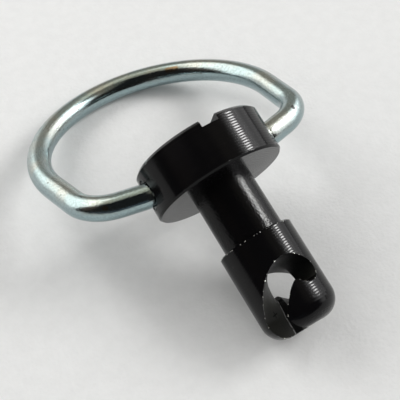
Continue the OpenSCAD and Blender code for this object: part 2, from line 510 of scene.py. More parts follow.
@dataclass
class Stud:
    """The turned and milled stud."""

    sizes: StudSizes
    cam: CamSizes
    wire: WireSizes
    pose: RestPose
    segments: int = 240
    step: float = 0.24
    tip_steps: int = 14
    bore_segments: int = 72
    bore_steps: int = 14
    facing_weight: float = 0.6
    rim_lines: np.ndarray = field(default_factory=lambda: np.zeros((0, 2, 3)))

    def _profile(self) -> list[Pair]:
        """Half the outline of the blank, with points no further apart than the step."""
        s = self.sizes
        tip = s.tip_z
        corners = [
            (0.0, -s.head_h),
            (s.head_r - s.head_chamfer, -s.head_h),
            (s.head_r, s.head_chamfer - s.head_h),
            (s.head_r, -s.seat_chamfer),
            (s.head_r - s.seat_chamfer, 0.0),
            (s.shank_r, 0.0),
            (s.shank_r, s.shank_h),
            (s.barrel_r - s.shoulder_chamfer, s.shank_h),
            (s.barrel_r, s.shank_h + s.shoulder_chamfer),
            (s.barrel_r, tip - s.tip_r),
        ]
        for k in range(1, self.tip_steps + 1):
            t = math.pi / 2 * k / self.tip_steps
            corners.append((s.barrel_r - s.tip_r + s.tip_r * math.cos(t), tip - s.tip_r + s.tip_r * math.sin(t)))
        corners.append((0.0, tip))
        out = [corners[0]]
        for (r0, z0), (r1, z1) in zip(corners, corners[1:]):
            n = max(1, math.ceil(math.hypot(r1 - r0, z1 - z0) / self.step))
            out += [(r0 + (r1 - r0) * k / n, z0 + (z1 - z0) * k / n) for k in range(1, n + 1)]
        return out

    def _bore(self, side: int) -> bpy.types.Object:
        """The cutter of one blind bore.

        Args:
            side: 1 for the bore towards +X, -1 for the other.

        Returns:
            The cutter.
        """
        s, w = self.sizes, self.wire
        r = w.wire_r + w.bore_gap
        start, mouth = s.head_r - w.seat_len - w.bore_spare, s.head_r - w.mouth_chamfer
        n, beyond = self.bore_steps, 2
        outline = [(0.0, start - r * math.tan(DRILL_SLOPE)), (r, start)]
        outline += [(r, start + k * (mouth - start) / n) for k in range(1, n + 1)]
        outline += [(r + beyond, mouth + beyond), (0.0, mouth + beyond)]
        cutter = Mesher.revolve("bore_cutter", outline, self.bore_segments)
        turn = Matrix.Rotation(side * math.pi / 2, 4, "Y")
        cutter.data.transform(Matrix.Translation((0, 0, s.pivot_z)) @ turn)
        return cutter

    def _drive(self) -> bpy.types.Object:
        """The cutter of the screwdriver slot."""
        s = self.sizes
        x, y = s.drive_w / 2, 2 * s.head_r
        z0, z1 = -s.head_h - 1, s.drive_depth - s.head_h
        corners = ((-1, -1), (1, -1), (1, 1), (-1, 1))
        points = np.array([(i * x, j * y, z) for z in (z0, z1) for i, j in corners])
        faces = [(3, 2, 1, 0), (4, 5, 6, 7), (0, 1, 5, 4), (1, 2, 6, 5), (2, 3, 7, 6), (3, 0, 4, 7)]
        cutter = Mesher.link("drive_cutter", points, faces)
        cutter.data.transform(Matrix.Rotation(math.radians(s.drive_turn), 4, "Z"))
        return cutter

    def _turned(self, p: np.ndarray) -> dict[Surface, tuple[np.ndarray, np.ndarray]]:
        """Distance and normal at points, for each surface but the drive slot and the cam slot.

        Args:
            p: Points in the stud's frame.

        Returns:
            Each surface's distances and unit normals.
        """
        s, w = self.sizes, self.wire
        r = np.hypot(p[:, 0], p[:, 1])
        z = p[:, 2]
        radial = np.column_stack([p[:, 0], p[:, 1], 0 * z]) / np.maximum(r, 1e-9)[:, None]
        up = np.tile([0.0, 0.0, 1.0], (len(p), 1))
        root = math.sqrt(0.5)
        out: dict[Surface, tuple[np.ndarray, np.ndarray]] = {
            Surface.PLANE_OUT: (z + s.head_h, -up),
            Surface.PLANE_SEAT: (z, up),
            Surface.PLANE_SHOULDER: (z - s.shank_h, -up),
            Surface.PLANE_TIP: (z - s.tip_z, up),
            Surface.HEAD: (r - s.head_r, radial),
            Surface.SHANK: (r - s.shank_r, radial),
            Surface.BARREL: (r - s.barrel_r, radial),
            Surface.HEAD_CHAMFER: (
                root * (r - z - s.head_r - s.head_h + s.head_chamfer),
                root * (radial - up),
            ),
            Surface.SEAT_CHAMFER: (root * (r + z - s.head_r + s.seat_chamfer), root * (radial + up)),
            Surface.SHOULDER_CHAMFER: (
                root * (r - z - s.barrel_r + s.shank_h + s.shoulder_chamfer),
                root * (radial - up),
            ),
        }
        ring = s.barrel_r - s.tip_r
        dr, dz = r - ring, z - (s.tip_z - s.tip_r)
        d = np.hypot(dr, dz)
        round_normal = (dr[:, None] * radial + dz[:, None] * up) / np.maximum(d, 1e-9)[:, None]
        elsewhere = 9.0
        off = np.where((dr > -0.01) & (dz > -0.01), 0.0, elsewhere)
        out[Surface.TIP_ROUND] = (np.abs(d - s.tip_r) + off, round_normal)
        bore_r = w.wire_r + w.bore_gap
        cy, cz = p[:, 1], z - s.pivot_z
        rho = np.hypot(cy, cz)
        inward = -np.column_stack([0 * z, cy, cz]) / np.maximum(rho, 1e-9)[:, None]
        away = np.abs(p[:, 0])
        side = np.column_stack([np.sign(p[:, 0]), 0 * z, 0 * z])
        mouth = s.head_r - w.mouth_chamfer
        start = s.head_r - w.seat_len - w.bore_spare
        out[Surface.BORE] = (rho - bore_r, inward)
        out[Surface.BORE_MOUTH] = (root * (rho - bore_r - (away - mouth)), root * (inward + side))
        rise, run = math.sin(DRILL_SLOPE), math.cos(DRILL_SLOPE)
        out[Surface.BORE_POINT] = ((rho - bore_r) * rise - (away - start) * run, rise * inward + run * side)
        return out

    def _shade(self, obj: bpy.types.Object, cutter: CamCutter) -> None:
        """Gives every face its surface, its material slot and the true normals of that surface.

        Args:
            obj: The cut stud.
            cutter: The cam slot's cutter.
        """
        mesh, s = obj.data, self.sizes
        centres = Mesher.read(mesh.polygons, "center", 3)
        flats = Mesher.read(mesh.polygons, "normal", 3)
        verts = Mesher.read(mesh.vertices, "co", 3)
        corners = verts[Mesher.read(mesh.loops, "vertex_index", kind=np.int32)]
        owner = np.repeat(np.arange(len(flats)), Mesher.read(mesh.polygons, "loop_total", kind=np.int32))

        scores = np.full((len(flats), len(Surface)), 1e9)
        for kind, (dist, normal) in {**self._turned(centres), Surface.CAM: cutter.normals(centres)}.items():
            facing = np.sum(normal * flats, axis=1)
            scores[:, kind.value] = np.abs(dist) + self.facing_weight * (1 - facing)
        kinds = np.argmin(scores, axis=1)
        turn, slack = math.radians(s.drive_turn), 0.001
        across = np.abs(centres[:, 0] * math.cos(turn) + centres[:, 1] * math.sin(turn))
        in_drive = (centres[:, 2] < s.drive_depth - s.head_h + slack) & (across < s.drive_w / 2 + slack)
        kinds[in_drive] = Surface.DRIVE.value

        corner_kinds = kinds[owner]
        normals = flats[owner].copy()
        for kind, (_, true) in self._turned(corners).items():
            pick = corner_kinds == kind.value
            normals[pick] = true[pick]
        pick = corner_kinds == Surface.CAM.value
        normals[pick] = cutter.normals(corners[pick])[1]
        lost = np.linalg.norm(normals, axis=1) < 0.5
        normals[lost] = flats[owner][lost]
        mesh.polygons.foreach_set("use_smooth", np.ones(len(flats), dtype=bool))
        mesh.materials.clear()
        milled = np.isin(kinds, [m.value for m in MILLED]).astype(np.int32)
        mesh.polygons.foreach_set("material_index", milled)
        mesh.normals_split_custom_set([tuple(n) for n in normals])
        self._rims(mesh, kinds, verts)

    def _rims(self, mesh: bpy.types.Mesh, kinds: np.ndarray, verts: np.ndarray) -> None:
        """Stores each point's distance from the nearest sharp edge, and keeps the rims that have burrs.

        Args:
            mesh: The stud's mesh.
            kinds: Each face's surface, by number.
            verts: The mesh's points.
        """
        faces_of: dict[tuple[int, int], list[int]] = {}
        for poly in mesh.polygons:
            for key in poly.edge_keys:
                faces_of.setdefault(key, []).append(poly.index)
        sharp, rims = [], []
        blend = {Surface.TIP_ROUND.value, Surface.BARREL.value, Surface.PLANE_TIP.value}
        shoulder = {Surface.SHOULDER_CHAMFER.value, Surface.BARREL.value}
        for key, polys in faces_of.items():
            pair = {int(kinds[i]) for i in polys}
            if len(pair) < 2 or pair <= blend:
                continue
            sharp.append(key)
            if Surface.CAM.value in pair or pair == shoulder:
                rims.append(key)
        middles = [(verts[a] + verts[b]) / 2 for a, b in sharp] + [verts[i] for key in sharp for i in key]
        tree = KDTree(len(middles))
        for i, m in enumerate(middles):
            tree.insert(m, i)
        tree.balance()
        edge = mesh.attributes.new("edge", "FLOAT", "POINT")
        edge.data.foreach_set("value", np.array([min(1.0, tree.find(v)[2]) for v in verts]))
        self.rim_lines = np.array([(verts[a], verts[b]) for a, b in rims])

    def build(self) -> bpy.types.Object:
        """Turns, cuts and shades the stud.

        Returns:
            The stud, placed on the ground.
        """
        obj = Mesher.revolve("turned_stud", self._profile(), self.segments)
        cutter = CamCutter(self.sizes, self.cam)
        for solid in [self._bore(1), self._bore(-1), self._drive(), *cutter.solids()]:
            Mesher.cut(obj, solid)
        self._shade(obj, cutter)
        obj.data.transform(self.pose.matrix())
        return obj


class Wiring:
    """Adds nodes to a tree and links them, so that each effect reads as a short list."""

    def __init__(self, tree: bpy.types.NodeTree) -> None:
        """Keeps the tree."""
        self.tree = tree

    def put(self, socket: Socket, value: object) -> None:
        """Links a socket, or sets its value.

        Args:
            socket: The input socket.
            value: An output socket, or a plain value.
        """
        if isinstance(value, bpy.types.NodeSocket):
            self.tree.links.new(value, socket)
        else:
            socket.default_value = value

    def fill(self, node: bpy.types.Node, values: dict[str | int, object]) -> None:
        """Links or sets inputs of a node, by name or number."""
        for key, value in values.items():
            self.put(node.inputs[key], value)

    def add(self, kind: str, inputs: dict[str | int, object] | None = None, **settings: object) -> bpy.types.Node:
        """Adds a node.

        Args:
            kind: The node's type.
            inputs: What goes into its sockets, by name or number.
            **settings: Properties of the node.

        Returns:
            The node.
        """
        node = self.tree.nodes.new(kind)
        for name, value in settings.items():
            setattr(node, name, value)
        self.fill(node, inputs or {})
        return node

    def group(self, group: bpy.types.NodeTree, **values: object) -> bpy.types.NodeOutputs:
        """Places a node group.

        Args:
            group: The group to place.
            **values: What goes into its sockets, by name with underscores for spaces.

        Returns:
            The group's outputs.
        """
        node = self.add("ShaderNodeGroup", node_tree=group)
        self.fill(node, {name.replace("_", " "): value for name, value in values.items()})
        return node.outputs

    def math(self, operation: str, a: object, b: object = 0.0, c: object = 0.0) -> Socket:
        """Adds a Math node.

        Args:
            operation: The operation.
            a: First input.
            b: Second input.
            c: Third input, where the operation has one.

        Returns:
            The result.
        """
        node = self.add("ShaderNodeMath", operation=operation)
        for socket, value in zip(node.inputs, (a, b, c)):
            self.put(socket, value)
        return node.outputs[0]

    def highest(self, first: object, *others: object) -> object:
        """Gives the highest of several values at each point.

        Args:
            first: One value.
            *others: The other values.

        Returns:
            The highest.
        """
        for other in others:
            first = self.math("MAXIMUM", first, other)
        return first

    def ramp(self, value: object, low: object, high: object, to: tuple[object, object] = (0.0, 1.0)) -> Socket:
        """Maps a range smoothly to another.

        Args:
            value: The input.
            low: Start of the range.
            high: End of the range.
            to: The values at its two ends.

        Returns:
            The mapped value.
        """
        inputs = {"Value": value, "From Min": low, "From Max": high, "To Min": to[0], "To Max": to[1]}
        return self.add("ShaderNodeMapRange", inputs, interpolation_type="SMOOTHSTEP").outputs["Result"]

    def near(self, value: object, middle: float, low: float, high: float, to: Pair = (1.0, 0.0)) -> Socket:
        """Maps a value's distance from a middle one smoothly.

        Args:
            value: The input.
            middle: The value to measure from.
            low: Distance at which the change starts.
            high: Distance at which it ends.
            to: The values at its two ends.

        Returns:
            The mapped value.
        """
        return self.ramp(self.math("ABSOLUTE", self.math("SUBTRACT", value, middle)), low, high, to)

    def noise(self, place: Socket, scale: object, detail: float) -> Socket:
        """Adds a noise texture, which stays about 0.5."""
        inputs = {"Vector": place, "Scale": scale, "Detail": detail}
        return self.add("ShaderNodeTexNoise", inputs).outputs[0]

    def split(self, vector: Socket) -> list[Socket]:
        """Separates a vector into x, y and z."""
        return list(self.add("ShaderNodeSeparateXYZ", {0: vector}).outputs)

    def length(self, x: Socket, y: Socket) -> Socket:
        """Gives the distance of a place from the z axis."""
        return self.math("SQRT", self.math("ADD", self.math("POWER", x, 2.0), self.math("POWER", y, 2.0)))

    def vector(self, operation: str, a: object, b: object, result: str = "Vector") -> Socket:
        """Adds a Vector Math node of two inputs and gives one of its results."""
        return self.add("ShaderNodeVectorMath", {0: a, 1: b}, operation=operation).outputs[result]

    def scale(self, vector: object, by: object) -> Socket:
        """Scales a vector."""
        return self.add("ShaderNodeVectorMath", {0: vector, "Scale": by}, operation="SCALE").outputs[0]

    def mix(self, factor: object, a: object, b: object) -> Socket:
        """Mixes two colours, by how much there is of the second."""
        return self.add("ShaderNodeMix", {0: factor, 6: a, 7: b}, data_type="RGBA").outputs[2]

    def bump(self, shader: bpy.types.Node, height: Socket, distance: float) -> None:
        """Gives a shader a relief, by its height and what a height of one is in metres."""
        node = self.add("ShaderNodeBump", {"Height": height, "Distance": distance})
        self.put(shader.inputs["Normal"], node.outputs["Normal"])


def new_material(name: str) -> tuple[bpy.types.Material, Wiring, bpy.types.Node]:
    """Starts a material.

    Args:
        name: Name of the material.

    Returns:
        The material, its wiring and its shader.
    """
    mat = bpy.data.materials.new(name)
    mat.use_nodes = True
    return mat, Wiring(mat.node_tree), mat.node_tree.nodes["Principled BSDF"]


def stud_place(w: Wiring, pose: RestPose) -> Socket:
    """Gives a point's place in the stud's own frame, in millimetres.

    Args:
        w: Wiring of the material.
        pose: How the fastener lies.

    Returns:
        The place.
    """
    inputs = {
        "Vector": w.add("ShaderNodeTexCoord").outputs["Object"],
        "Location": pose.origin * MM,
        "Rotation": pose.rotation.to_euler(),
        "Scale": (MM, MM, MM),
    }
    return w.add("ShaderNodeMapping", inputs, vector_type="TEXTURE").outputs[0]


class Growth:
    """A Geometry Nodes tree with named inputs, which turns an object into a plain mesh."""

    def __init__(self, name: str, start: str, kinds: dict[str, str], end: str) -> None:
        """Starts the tree.

        Args:
            name: Name of the tree.
            start: Name of the geometry that goes in.
            kinds: Kind of each other input, by name.
            end: Name of the geometry that comes out.
        """
        tree = bpy.data.node_groups.new(name, "GeometryNodeTree")
        face = tree.interface
        face.new_socket(start, in_out="INPUT", socket_type="NodeSocketGeometry")
        self.keys = {
            label: face.new_socket(label, in_out="INPUT", socket_type="NodeSocket" + kind).identifier
            for label, kind in kinds.items()
        }
        face.new_socket(end, in_out="OUTPUT", socket_type="NodeSocketGeometry")
        self.w = Wiring(tree)
        self.given = self.w.add("NodeGroupInput").outputs
        self.result = self.w.add("NodeGroupOutput").inputs[0]

    def store(self, geometry: Socket, name: str, kind: str, value: Socket) -> Socket:
        """Stores a value on every point, under a name, and gives the geometry."""
        inputs = {"Geometry": geometry, "Name": name, "Value": value}
        return self.w.add("GeometryNodeStoreNamedAttribute", inputs, data_type=kind, domain="POINT").outputs[0]

    def recall(self, name: str, kind: str) -> Socket:
        """Reads a stored value."""
        return self.w.add("GeometryNodeInputNamedAttribute", {"Name": name}, data_type=kind).outputs[0]

    def pick(self, kind: str, seed: Socket, limits: dict[str, Point]) -> Socket:
        """Draws a random value for every point, from a seed and its limits."""
        node = self.w.add("FunctionNodeRandomValue", {**limits, "Seed": seed}, data_type=kind)
        return next(output for output in node.outputs if output.enabled)

    def close(self, geometry: Socket) -> None:
        """Ends the tree with real geometry in its finish.

        Args:
            geometry: What the tree has made.
        """
        real = self.w.add("GeometryNodeRealizeInstances", {0: geometry}).outputs[0]
        inputs = {"Geometry": real, "Material": self.given["Finish"]}
        self.w.put(self.result, self.w.add("GeometryNodeSetMaterial", inputs).outputs[0])

    def run(self, source: bpy.types.Object, name: str, pose: RestPose, **values: object) -> bpy.types.Object:
        """Grows the mesh and removes what it grew from.

        Args:
            source: The object that goes in.
            name: Name of the new object and its mesh.
            pose: How the fastener lies.
            **values: The other inputs, by name.

        Returns:
            The new object, placed on the ground.
        """
        modifier = source.modifiers.new("growth", "NODES")
        modifier.node_group = self.w.tree
        for label, value in values.items():
            modifier[self.keys[label]] = value
        mesh = Mesher.evaluated(source)
        mesh.name = name
        mesh.transform(pose.matrix())
        obj = Mesher.place(name, mesh)
        bpy.data.objects.remove(source)
        return obj


class SharedEffects:
    """Node groups that more than one finish uses, or one finish more than once."""

    def __init__(self) -> None:
        """Builds each group once."""
        self.turning = self._turning()
        self.wear = self._wear()
        self.blotch = self._blotch()
        self.stroke = self._stroke()

    @staticmethod
    def _start(
        name: str, vectors: list[str], numbers: dict[str, float], outputs: list[str]
    ) -> tuple[Wiring, bpy.types.NodeOutputs, bpy.types.NodeInputs]:
        """Starts a group with named sockets.

        Args:
            name: Name of the group.
            vectors: Names of the vectors that go in.
            numbers: The numbers that go in, with their usual values.
            outputs: Names of the numbers that come out.

        Returns:
            Its wiring, what is given to it, and what it has to fill.
        """
        tree = bpy.data.node_groups.new(name, "ShaderNodeTree")
        for label in vectors:
            tree.interface.new_socket(label, in_out="INPUT", socket_type="NodeSocketVector")
        for label, usual in numbers.items():
            socket = tree.interface.new_socket(label, in_out="INPUT", socket_type="NodeSocketFloat")
            socket.default_value = usual
        for label in outputs:
            tree.interface.new_socket(label, in_out="OUTPUT", socket_type="NodeSocketFloat")
        w = Wiring(tree)
        return w, w.add("NodeGroupInput").outputs, w.add("NodeGroupOutput").inputs

    def _turning(self) -> bpy.types.NodeTree:
        """Rings that a round-nosed lathe tool leaves, and torn grain where a parting tool cut the neck."""
        numbers = {
            "Pitch": 0.29,
            "Wander": 0.3,
            "Wander Scale": 0.5,
            "Neck Radius": 3.3,
            "Neck Grain": 4.6,
            "Neck Depth": 3.6,
            "Chatter": 0.25,
            "Chatter Scale": 9.0,
            "Faint Side": 0.2,
            "Faint To": -5.6,
            "Faint From": -4.4,
        }
        w, given, result = self._start("turning rings", ["Place"], numbers, ["Height"])
        x, y, z = w.split(given["Place"])
        radius = w.length(x, y)
        along = w.math("ADD", radius, z)
        drift = w.math("SUBTRACT", w.noise(given["Place"], given["Wander Scale"], 1.0), 0.5)
        drift = w.math("MULTIPLY", drift, given["Wander"])
        phase = w.math("ADD", w.math("DIVIDE", along, given["Pitch"]), drift)
        across = w.math("SUBTRACT", w.math("FRACT", phase), 0.5)
        scallop = w.math("MULTIPLY", w.math("POWER", across, 2.0), 4.0)
        inputs = {"W": along, "Scale": given["Chatter Scale"], "Detail": 2.0}
        fine = w.add("ShaderNodeTexNoise", inputs, noise_dimensions="1D")
        rings = w.math("MULTIPLY_ADD", fine.outputs[0], given["Chatter"], scallop)
        faint = w.ramp(x, given["Faint To"], given["Faint From"], (given["Faint Side"], 1.0))
        rings = w.math("MULTIPLY", rings, faint)
        torn = w.math("SUBTRACT", w.noise(given["Place"], given["Neck Grain"], 3.0), 0.5)
        torn = w.math("MULTIPLY", torn, given["Neck Depth"])
        neck = w.math("LESS_THAN", radius, given["Neck Radius"])
        body = w.math("SUBTRACT", 1.0, neck)
        w.put(result["Height"], w.math("ADD", w.math("MULTIPLY", neck, torn), w.math("MULTIPLY", body, rings)))
        return w.tree

    def _wear(self) -> bpy.types.NodeTree:
        """Broken bright wear along edges, and scattered specks."""
        numbers = {
            "Edge": 1.0,
            "Width": 0.1,
            "Breaks": 0.5,
            "Break Scale": 1.9,
            "Speck Scale": 1.5,
            "Speck Size": 0.05,
            "Speck Gaps": 0.7,
        }
        w, given, result = self._start("edge wear and specks", ["Place"], numbers, ["Wear", "Specks"])
        near = w.math("SUBTRACT", 1.0, w.math("DIVIDE", given["Edge"], given["Width"]))
        unbroken = w.math("SUBTRACT", w.noise(given["Place"], given["Break Scale"], 4.0), given["Breaks"])
        worn = w.math("MULTIPLY", w.math("MAXIMUM", near, 0.0), w.ramp(unbroken, -0.04, 0.06))
        w.put(result["Wear"], w.ramp(worn, 0.1, 0.6))
        cells = w.add("ShaderNodeTexVoronoi", {"Vector": given["Place"], "Scale": given["Speck Scale"]}).outputs
        spot = w.math("LESS_THAN", cells["Distance"], given["Speck Size"])
        chance = w.add("ShaderNodeSeparateColor", {0: cells["Color"]}).outputs[0]
        some = w.math("GREATER_THAN", chance, given["Speck Gaps"])
        w.put(result["Specks"], w.math("MULTIPLY", spot, some))
        return w.tree

    def _stroke(self) -> bpy.types.NodeTree:
        """A short mark with ragged soft sides between two points."""
        numbers = {"Width": 0.05, "Ragged Scale": 9.0, "Ragged": 1.2, "Thinnest": 0.2}
        w, given, result = self._start("stroke", ["Place", "Start", "End"], numbers, ["Mask"])
        run = w.vector("SUBTRACT", given["End"], given["Start"])
        off = w.vector("SUBTRACT", given["Place"], given["Start"])
        dots = [w.vector("DOT_PRODUCT", first, run, "Value") for first in (off, run)]
        share = w.math("MINIMUM", w.math("MAXIMUM", w.math("DIVIDE", *dots), 0.0), 1.0)
        gap = w.vector("DISTANCE", off, w.scale(run, share), "Value")
        ragged = w.noise(given["Place"], given["Ragged Scale"], 2.0)
        ragged = w.math("MULTIPLY_ADD", ragged, given["Ragged"], given["Thinnest"])
        far = w.math("DIVIDE", gap, w.math("MULTIPLY", given["Width"], ragged))
        w.put(result["Mask"], w.ramp(far, 0.4, 0.7, (1.0, 0.0)))
        return w.tree

    def _blotch(self) -> bpy.types.NodeTree:
        """Soft uneven patches, spread out to the full range and as the plain cloud."""
        numbers = {"Scale": 0.3, "Contrast": 0.1}
        w, given, result = self._start("soft patches", ["Place"], numbers, ["Patches", "Cloud"])
        cloud = w.noise(given["Place"], given["Scale"], 4.0)
        spread = w.math("DIVIDE", w.math("SUBTRACT", cloud, 0.5), given["Contrast"])
        w.put(result["Patches"], w.ramp(spread, -1.0, 1.0))
        w.put(result["Cloud"], cloud)
        return w.tree


@dataclass(frozen=True)
class Stroke:
    """A scratch, a nick or a stain between two points of the stud's frame, in millimetres."""

    start: Point
    end: Point
    width: float

    def mask(self, w: Wiring, effects: SharedEffects, place: Socket) -> Socket:
        """Gives one inside the stroke and nought outside it."""
        values = {"Start": self.start, "End": self.end, "Width": self.width}
        return w.group(effects.stroke, Place=place, **values)["Mask"]


@dataclass(frozen=True)
class CutMarks:
    """What one way of cutting leaves under the anodising: lengths in millimetres, relief in metres."""

    roughness: Pair
    relief: float
    wear_width: float
    wear_breaks: float


class Cut(Enum):
    """How a surface of the stud was cut."""

    TURNED = CutMarks((0.10, 0.15), 0.000009, 0.07, 0.68)
    MILLED = CutMarks((0.34, 0.48), 0.00002, 0.08, 0.56)


@dataclass(frozen=True)
class BlackAnodised:
    """Black anodised metal worn bare along its edges, with painted shade and highlights. Places are heights or
    depths in millimetres.
    """

    name: str
    effects: SharedEffects
    pose: RestPose
    cut: Cut
    black: Colour = (0.0031, 0.0029, 0.0033, 1.0)
    olive: Colour = (0.021, 0.021, 0.018, 1.0)
    # colour of the painted shade wedge in the slot and of the stroke marks
    dark: Colour = (0.002, 0.002, 0.002, 1.0)
    # colour of bare metal, also used for the painted highlights at the bores' mouths and along the slot's seam
    bare: Colour = (0.30, 0.30, 0.30, 1.0)
    bare_metallic: float = 0.8
    gloss: float = 0.16
    patch_scale: float = 0.35
    patch_contrast: float = 0.14
    pitches: Pair = (0.27, 0.26)
    pitch_from: Pair = (5.0, 6.0)
    wander: float = 0.5
    speck_scale: float = 1.1
    speck_size: float = 0.045
    speck_share: float = 0.6
    rub_from: Pair = (-1.0, 0.0)
    # distance from the middle where the painted highlight at the bores' mouths starts
    mouth_highlight_from: Pair = (6.1, 6.3)
    tip_from: Pair = (12.0, 15.0)
    tip_rub: float = 0.16
    prong_half: Pair = (0.9, 1.1)
    # heights over which the painted shade under the slot's ceiling gives way to olive
    olive_from: Pair = (10.8, 12.6)
    strokes: tuple[Stroke, ...] = (
        Stroke((-2.35, 0.35, 13.35), (-2.33, 0.12, 13.9), 0.13),
        Stroke((-2.62, 0.42, 13.70), (-2.05, 0.02, 13.58), 0.13),
    )
    dark_dulls: float = 0.5
    # height from which the painted shade wedge and the painted highlight along its edge run
    wedge_from: float = 12.4
    wedge_soft: float = 0.04
    seam_depth: float = 0.72
    seam_half: Pair = (0.03, 0.07)
    seam_scale: float = 2.5
    seam_breaks: Pair = (0.36, 0.48)
    mill_lines: Point = (9.0, 9.0, 1.2)

    def material(self) -> bpy.types.Material:
        """Builds the material.

        Returns:
            The finished material.
        """
        mat, w, shader = new_material(self.name)
        place = stud_place(w, self.pose)
        marks = self._bare_marks_and_mouth_highlight(w, place)
        tone: object = self.black
        dull: object = 0.0
        if self.cut is Cut.TURNED:
            pitch = w.ramp(w.split(place)[2], *self.pitch_from, self.pitches)
            height = w.group(self.effects.turning, Place=place, Pitch=pitch, Wander=self.wander)["Height"]
        else:
            # painted shade: a dark wedge on the slot's walls where the far prong lies in shade
            far, seam = self._shade_wedge_and_seam(w, place)
            # painted highlight: a broken bright line along the wedge's edge stands in for the crease between the
            # two cutter passes
            torn = w.ramp(w.noise(place, self.seam_scale, 3.0), *self.seam_breaks)
            marks = w.highest(marks, w.math("MULTIPLY", seam, torn))
            # painted shade: the dark wedge together with the stroke marks, darkened and dulled
            shade_wedge_and_strokes = w.highest(far, *(stroke.mask(w, self.effects, place) for stroke in self.strokes))
            # painted shade: the milled walls are black under the slot's ceiling, where it lies in shade, and
            # olive on the lower walls towards the tip
            olive_and_ceiling_shade = w.mix(w.ramp(w.split(place)[2], *self.olive_from), self.black, self.olive)
            tone = w.mix(shade_wedge_and_strokes, olive_and_ceiling_shade, self.dark)
            dull = w.math("MULTIPLY", shade_wedge_and_strokes, self.dark_dulls)
            stretch = w.add("ShaderNodeMapping", {"Vector": place, "Scale": self.mill_lines})
            height = w.noise(stretch.outputs[0], 1.0, 3.0)
        values = {"Scale": self.patch_scale, "Contrast": self.patch_contrast}
        patches = w.group(self.effects.blotch, Place=place, **values)["Patches"]
        w.bump(shader, height, self.cut.value.relief)
        w.fill(shader, {
            "Base Color": w.mix(marks, tone, self.bare),
            "Metallic": w.math("MULTIPLY", marks, self.bare_metallic),
            "Roughness": w.math("ADD", dull, w.ramp(patches, 0.0, 1.0, self.cut.value.roughness)),
            "Specular IOR Level": self.gloss,
        })
        return mat

    def _bare_marks_and_mouth_highlight(self, w: Wiring, place: Socket) -> Socket:
        """Where the black is worn off, at edges, more so at the prongs' tips, and scattered specks, and a painted
        highlight along the rims at the bores' mouths.

        Args:
            w: Wiring of the material.
            place: Place in the stud's frame.

        Returns:
            One where the metal is bare or painted bright.
        """
        x, _, z = w.split(place)
        cut = self.cut.value
        rubbed_tip = w.ramp(z, *self.tip_from, (0.0, self.tip_rub))
        rubbed_tip = w.math("MULTIPLY", w.near(x, 0.0, *self.prong_half), rubbed_tip)
        edge = w.add("ShaderNodeAttribute", attribute_name="edge").outputs["Fac"]
        breaks = w.math("SUBTRACT", cut.wear_breaks, rubbed_tip)
        values = {"Speck Scale": self.speck_scale, "Speck Size": self.speck_size}
        wear = w.group(self.effects.wear, Place=place, Edge=edge, Width=cut.wear_width, Breaks=breaks, **values)
        # painted highlight: near the bores' mouths the edge marks are painted bright at any height, where the
        # chamfer catches the light
        mouth = w.near(x, 0.0, *self.mouth_highlight_from, (0.0, 1.0))
        edge_wear_and_mouth_highlight = w.math("MULTIPLY", wear["Wear"], w.highest(mouth, w.ramp(z, *self.rub_from)))
        return w.highest(edge_wear_and_mouth_highlight, w.math("MULTIPLY", wear["Specks"], self.speck_share))

    def _shade_wedge_and_seam(self, w: Wiring, place: Socket) -> tuple[Socket, Socket]:
        """Painted shade, a dark duller wedge on one side of the slot's lower walls where the far prong lies in
        shade, and a painted highlight along its edge.

        Args:
            w: Wiring of the material.
            place: Place in the stud's frame.

        Returns:
            Masks of the painted shade wedge and of the painted highlight along its edge.
        """
        x, y, z = w.split(place)
        same = w.math("GREATER_THAN", w.math("MULTIPLY", x, y), 0.0)
        same = w.math("MULTIPLY", same, w.math("GREATER_THAN", z, self.wedge_from))
        depth = w.math("ABSOLUTE", y)
        beyond = w.ramp(depth, self.seam_depth - self.wedge_soft, self.seam_depth + self.wedge_soft)
        # painted highlight along the wedge's edge, in place of a crease
        seam = w.near(depth, self.seam_depth, *self.seam_half)
        return w.math("MULTIPLY", same, beyond), w.math("MULTIPLY", same, seam)


